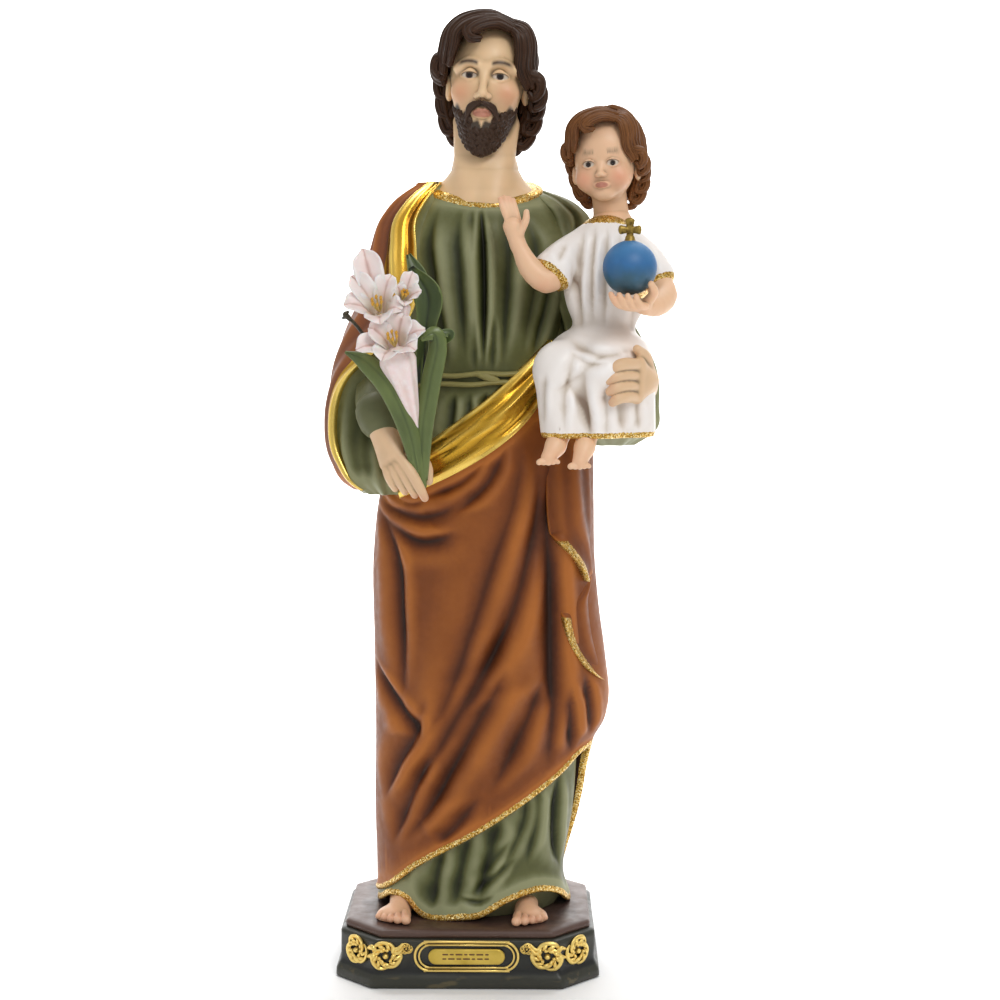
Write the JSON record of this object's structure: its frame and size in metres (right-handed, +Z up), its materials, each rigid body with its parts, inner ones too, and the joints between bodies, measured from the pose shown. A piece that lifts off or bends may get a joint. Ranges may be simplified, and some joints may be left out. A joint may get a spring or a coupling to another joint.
{
  "type": "saint statue",
  "caption": "Painted cast-resin statue of a standing bearded saint in robes, with a child on one arm and lilies in the other hand, on a low chamfered plinth.",
  "frame": {"origin": "middle of the plinth's underside, on the surface that it stands on", "axes": "+Z up, +Y to the statue's back, +X to the right of someone who faces the statue"},
  "size_m": [0.1107, 0.0813, 0.3053],
  "materials": {
    "plinth_paint": "satin mahogany and dark green paint with gilded relief over cast resin",
    "plate_brass": "satin, with engraved strokes",
    "painted_resin": "hand-painted satin and gold over cast resin",
    "orb_blue": "satin blue paint",
    "lily_paint": "satin white petals and glossy green leaves"
  },
  "bodies": {
    "root": {"plinth": "plinth_paint", "nameplate": "plate_brass", "saint_and_child": "painted_resin", "orb_and_cross": "orb_blue", "lily_spray": "lily_paint"}
  },
  "joints": []
}
